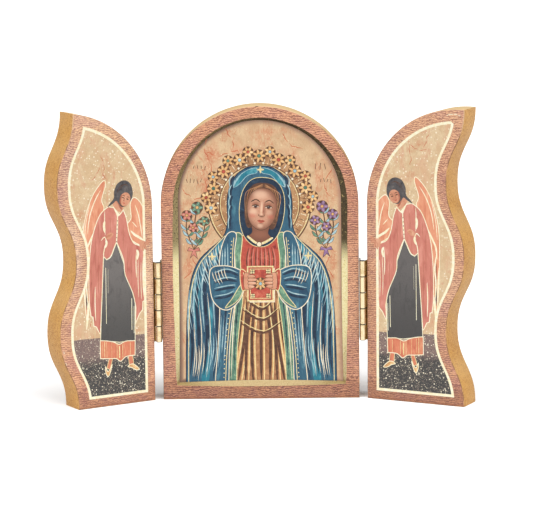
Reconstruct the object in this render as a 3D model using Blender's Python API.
# Small hinged table triptych: an arched centre board with a sunk picture, and two wings
# with wavy free edges, each on a butt hinge. Metres, +Z up, -Y is the front, +X the viewer's
# right. The origin is the middle of the centre board's underside.

import math

import bpy
from mathutils import Matrix, Vector
from mathutils.geometry import tessellate_polygon

MM = 0.001

# Boards
BOARD_WIDTH = 100.0 * MM
BOARD_HEIGHT = 150.0 * MM
BOARD_THICKNESS = 15.0 * MM
EDGE_CHAMFER = 0.5 * MM
ARCH_RADIUS = BOARD_WIDTH / 2.0
SPRING_HEIGHT = BOARD_HEIGHT - ARCH_RADIUS
FRONT_Y = -BOARD_THICKNESS / 2.0

# Sunk picture and its gilt bevel
PICTURE_HALF_WIDTH = 41.3 * MM
PICTURE_BOTTOM = 8.8 * MM
PICTURE_SPRING = 101.6 * MM
BEVEL_DEPTH = 1.8 * MM
BEVEL_WIDTH = 1.2 * MM
BEVEL_SIDE_BOW = 1.7 * MM
BEVEL_SILL_BOW = 0.9 * MM
PRINT_THICKNESS = 1.0 * MM

# Wings: the free edge is a wave of two periods, mirrored so that the closed wings mate
WING_MEAN_WIDTH = 48.4 * MM
WAVE_HEIGHT = 5.15 * MM
WAVE_SHARPNESS = 0.055
WAVE_PERIOD = BOARD_HEIGHT / 2.0
REST_ANGLE_LEFT = 30.9
REST_ANGLE_RIGHT = 26.6

# Hinges
CLEARANCE = 0.3 * MM
HINGE_LENGTH = 41.0 * MM
HINGE_BOTTOM = 30.2 * MM
KNUCKLES = 5
BARREL_RADIUS = 1.45 * MM
PIN_RADIUS = 0.62 * MM
BORE_RADIUS = PIN_RADIUS + CLEARANCE
LEAF_THICKNESS = 0.7 * MM
LEAF_DEPTH = 9.0 * MM
AXIS_OUT = BARREL_RADIUS + CLEARANCE
AXIS_FORWARD = 1.6 * MM
PIN_PROUD = 0.15 * MM

# Facets
ARCH_STEPS = 48
SIDE_STEPS = 14
SILL_STEPS = 12
WAVE_STEPS = 60
BARREL_SIDES = 24
PIN_SIDES = 16

for old in list(bpy.data.objects):
    bpy.data.objects.remove(old, do_unlink=True)


def material(name, color, roughness, metallic=0.0):
    mat = bpy.data.materials.new(name)
    mat.use_nodes = True
    shader = mat.node_tree.nodes["Principled BSDF"]
    shader.inputs["Base Color"].default_value = (*color, 1.0)
    shader.inputs["Roughness"].default_value = roughness
    shader.inputs["Metallic"].default_value = metallic
    mat.diffuse_color = (*color, 1.0)
    return mat


VENEER = (0.60, 0.31, 0.21)
BRASS = (0.78, 0.58, 0.28)
PRINT = (0.76, 0.56, 0.36)


def add_object(name, verts, faces, mat, place=None, smooth_angle=None):
    mesh = bpy.data.meshes.new(name)
    mesh.from_pydata([tuple(v) for v in verts], [], faces)
    mesh.validate()
    mesh.materials.append(mat)
    obj = bpy.data.objects.new(name, mesh)
    bpy.context.scene.collection.objects.link(obj)
    if place is not None:
        obj.matrix_world = place
    if smooth_angle is not None:
        mesh.shade_smooth()
        mesh.set_sharp_from_angle(angle=math.radians(smooth_angle))
    return obj


def arch_outline(half, bottom, spring):
    """Points (x, z) counter-clockwise seen from the front, with a bow weight for each."""
    pts = []
    for i in range(SILL_STEPS):
        t = i / SILL_STEPS
        pts.append((-half + 2.0 * half * t, bottom))
    for i in range(SIDE_STEPS):
        t = i / SIDE_STEPS
        pts.append((half, bottom + (spring - bottom) * t))
    for i in range(ARCH_STEPS):
        a = math.pi * i / ARCH_STEPS
        pts.append((half * math.cos(a), spring + half * math.sin(a)))
    for i in range(SIDE_STEPS):
        t = i / SIDE_STEPS
        pts.append((-half, spring + (bottom - spring) * t))
    return pts


def offset(pts, amounts):
    """Moves each point outward along the mitre of its two edges."""
    out = []
    count = len(pts)
    for i in range(count):
        a = Vector(pts[i - 1])
        b = Vector(pts[i])
        c = Vector(pts[(i + 1) % count])
        e1 = (b - a).normalized()
        e2 = (c - b).normalized()
        n1 = Vector((e1.y, -e1.x))
        n2 = Vector((e2.y, -e2.x))
        m = n1 + n2
        m = m * (1.0 / (1.0 + n1.dot(n2)))
        p = b + m * amounts[i]
        out.append((p.x, p.y))
    return out


def rings_to_solid(rings, first_cap=True, last_cap=True):
    """Closes rings of equal count, each a list of (x, y, z), into one shell."""
    count = len(rings[0])
    verts = [p for ring in rings for p in ring]
    faces = []
    for k in range(len(rings) - 1):
        for i in range(count):
            j = (i + 1) % count
            faces.append((k * count + i, k * count + j, (k + 1) * count + j, (k + 1) * count + i))
    if first_cap:
        faces.append(tuple(reversed(range(count))))
    if last_cap:
        base = (len(rings) - 1) * count
        faces.append(tuple(range(base, base + count)))
    return verts, faces


def at_depth(pts, y):
    return [(x, y, z) for x, z in pts]


def bevel_widths():
    """The hand-cut bevel is narrow at the corners and wider in the middle of each side."""
    side_top = PICTURE_SPRING + PICTURE_HALF_WIDTH * 0.62
    widths = []
    for x, z in arch_outline(PICTURE_HALF_WIDTH, PICTURE_BOTTOM, PICTURE_SPRING):
        if z <= PICTURE_BOTTOM + 1e-9:
            t = (x + PICTURE_HALF_WIDTH) / (2.0 * PICTURE_HALF_WIDTH)
            bow = BEVEL_SILL_BOW * math.sin(math.pi * t)
        elif z < side_top:
            t = (z - PICTURE_BOTTOM) / (side_top - PICTURE_BOTTOM)
            bow = BEVEL_SIDE_BOW * math.sin(math.pi * t)
        else:
            bow = 0.0
        widths.append(BEVEL_WIDTH + bow)
    return widths


def build_centre_panel():
    outline = arch_outline(BOARD_WIDTH / 2.0, 0.0, SPRING_HEIGHT)
    inset = offset(outline, [-EDGE_CHAMFER] * len(outline))
    opening = arch_outline(PICTURE_HALF_WIDTH, PICTURE_BOTTOM, PICTURE_SPRING)
    lip = offset(opening, bevel_widths())
    back_y = FRONT_Y + BOARD_THICKNESS
    floor_y = FRONT_Y + BEVEL_DEPTH + PRINT_THICKNESS + CLEARANCE
    rings = [
        at_depth(inset, back_y),
        at_depth(outline, back_y - EDGE_CHAMFER),
        at_depth(outline, FRONT_Y + EDGE_CHAMFER),
        at_depth(inset, FRONT_Y),
        at_depth(lip, FRONT_Y),
        at_depth(opening, FRONT_Y + BEVEL_DEPTH),
        at_depth(opening, floor_y),
    ]
    verts, faces = rings_to_solid(rings)
    add_object("centre_panel", verts, faces, material("veneered_board", VENEER, 0.45), smooth_angle=20.0)


def build_centre_picture():
    opening = arch_outline(PICTURE_HALF_WIDTH, PICTURE_BOTTOM, PICTURE_SPRING)
    edge = offset(opening, [-CLEARANCE] * len(opening))
    front = FRONT_Y + BEVEL_DEPTH
    verts, faces = rings_to_solid([at_depth(edge, front + PRINT_THICKNESS), at_depth(edge, front)])
    add_object("centre_picture", verts, faces, material("printed_card", PRINT, 0.35))


def wing_width(z, sign):
    u = 2.0 * math.pi * z / WAVE_PERIOD
    return WING_MEAN_WIDTH + sign * WAVE_HEIGHT * (math.cos(u) - WAVE_SHARPNESS * math.cos(3.0 * u))


def wing_outline(sign):
    """Points (distance from the hinged edge, z), counter-clockwise with the free edge on the right."""
    tip = wing_width(BOARD_HEIGHT, sign)
    tip_z = SPRING_HEIGHT + math.sqrt(ARCH_RADIUS ** 2 - (tip - ARCH_RADIUS) ** 2)
    pts = [(0.0, 0.0)]
    for i in range(WAVE_STEPS):
        z = tip_z * i / WAVE_STEPS
        pts.append((wing_width(z, sign), z))
    start = math.acos((tip - ARCH_RADIUS) / ARCH_RADIUS)
    arch_steps = ARCH_STEPS // 2
    for i in range(arch_steps + 1):
        a = start + (math.pi - start) * i / arch_steps
        pts.append((ARCH_RADIUS + ARCH_RADIUS * math.cos(a), SPRING_HEIGHT + ARCH_RADIUS * math.sin(a)))
    return pts


def wing_place(side):
    """The hinge axis, turned to the opening that the wing rests at."""
    angle = REST_ANGLE_LEFT if side < 0 else -REST_ANGLE_RIGHT
    axis = Vector((side * (BOARD_WIDTH / 2.0 + AXIS_OUT), FRONT_Y - AXIS_FORWARD, 0.0))
    return Matrix.Translation(axis) @ Matrix.Rotation(math.radians(angle), 4, "Z")


def build_wing(side, name):
    outline = wing_outline(side)
    inset = offset(outline, [-EDGE_CHAMFER] * len(outline))
    rings = []
    for pts, depth in (
        (inset, BOARD_THICKNESS),
        (outline, BOARD_THICKNESS - EDGE_CHAMFER),
        (outline, EDGE_CHAMFER),
        (inset, 0.0),
    ):
        rings.append([(side * (AXIS_OUT + s), AXIS_FORWARD + depth, z) for s, z in pts])
    verts, faces = rings_to_solid(rings)
    if side < 0:
        faces = [tuple(reversed(f)) for f in faces]
    mat = material(name + "_board", VENEER, 0.45)
    add_object(name, verts, faces, mat, place=wing_place(side), smooth_angle=20.0)


def leaf_profile(hand):
    """Outer loop of a knuckle with its leaf, and the loop of its bore, around the axis."""
    inner = BARREL_RADIUS - LEAF_THICKNESS
    notch = BARREL_RADIUS + CLEARANCE
    loop = [(BARREL_RADIUS, LEAF_DEPTH), (BARREL_RADIUS, notch)]
    stop = math.acos(inner / BARREL_RADIUS)
    sweep = 2.0 * math.pi - stop
    for i in range(BARREL_SIDES + 1):
        a = -sweep * i / BARREL_SIDES
        loop.append((BARREL_RADIUS * math.cos(a), BARREL_RADIUS * math.sin(a)))
    loop += [(inner, notch), (inner, LEAF_DEPTH)]
    bore = []
    for i in range(BARREL_SIDES):
        a = -2.0 * math.pi * i / BARREL_SIDES
        bore.append((BORE_RADIUS * math.cos(a), BORE_RADIUS * math.sin(a)))
    return [(hand * x, y) for x, y in loop], [(hand * x, y) for x, y in bore]


def build_leaf(name, hand, own_parity, place, mat):
    """One leaf with every second knuckle; hand is +1 where the leaf lies on the +X side."""
    loop, bore = leaf_profile(hand)
    count = len(loop)
    plate = [0, 1, count - 2, count - 1]
    head = list(range(1, count - 1))
    pitch = HINGE_LENGTH / KNUCKLES
    levels = [HINGE_BOTTOM]
    for k in range(1, KNUCKLES):
        shift = -0.5 if (k - 1) % 2 == own_parity else 0.5
        levels.append(HINGE_BOTTOM + k * pitch + shift * CLEARANCE)
    levels.append(HINGE_BOTTOM + HINGE_LENGTH)
    verts = []
    for z in levels:
        verts += [(x, y, z) for x, y in loop] + [(x, y, z) for x, y in bore]
    stride = count + len(bore)
    faces = []

    def cap(level, indices, with_bore, up):
        outer = [Vector((loop[i][0], loop[i][1], 0.0)) for i in indices]
        rows = [level * stride + i for i in indices]
        lines = [outer]
        if with_bore:
            lines.append([Vector((x, y, 0.0)) for x, y in bore])
            rows += [level * stride + count + i for i in range(len(bore))]
        flat = [p for line in lines for p in line]
        for tri in tessellate_polygon(lines):
            a, b, c = (flat[i] for i in tri)
            positive = (b - a).cross(c - a).z > 0.0
            ordered = tri if positive == up else tuple(reversed(tri))
            faces.append(tuple(rows[i] for i in ordered))

    def wall(level, indices, start, flip):
        for n in range(len(indices)):
            i = start + indices[n]
            j = start + indices[(n + 1) % len(indices)]
            a, b = level * stride + i, level * stride + j
            quad = (a, a + stride, b + stride, b)
            faces.append(tuple(reversed(quad)) if flip else quad)

    for k in range(KNUCKLES):
        owns = k % 2 == own_parity
        wall(k, list(range(count)) if owns else plate, 0, hand < 0)
        if owns:
            wall(k, list(range(len(bore))), count, hand > 0)
            cap(k, list(range(count)) if k == 0 else head, True, False)
            cap(k + 1, list(range(count)) if k == KNUCKLES - 1 else head, True, True)
        else:
            if k == 0:
                cap(k, plate, False, False)
            if k == KNUCKLES - 1:
                cap(k + 1, plate, False, True)
    used = sorted({i for f in faces for i in f})
    renumber = {old: new for new, old in enumerate(used)}
    verts = [verts[i] for i in used]
    faces = [tuple(renumber[i] for i in f) for f in faces]
    add_object(name, verts, faces, mat, place=place, smooth_angle=40.0)


def build_pin(name, place, mat):
    low = HINGE_BOTTOM - PIN_PROUD
    high = HINGE_BOTTOM + HINGE_LENGTH + PIN_PROUD
    nose = PIN_PROUD
    rings = []
    for radius, z in (
        (PIN_RADIUS - nose, low),
        (PIN_RADIUS, low + nose),
        (PIN_RADIUS, high - nose),
        (PIN_RADIUS - nose, high),
    ):
        ring = []
        for i in range(PIN_SIDES):
            a = 2.0 * math.pi * i / PIN_SIDES
            ring.append((radius * math.cos(a), radius * math.sin(a), z))
        rings.append(ring)
    verts, faces = rings_to_solid(rings)
    add_object(name, verts, faces, mat, place=place, smooth_angle=40.0)


def build_hinge(side, prefix):
    fixed = Matrix.Translation(wing_place(side).to_translation())
    brass = material(prefix + "_brass", BRASS, 0.35, 1.0)
    build_leaf(prefix + "_hinge_centre_leaf", -side, 0, fixed, brass)
    build_leaf(prefix + "_hinge_wing_leaf", side, 1, wing_place(side), brass)
    build_pin(prefix + "_hinge_pin", fixed, brass)


build_centre_panel()
build_centre_picture()
build_wing(-1, "left_wing_panel")
build_wing(1, "right_wing_panel")
build_hinge(-1, "left")
build_hinge(1, "right")
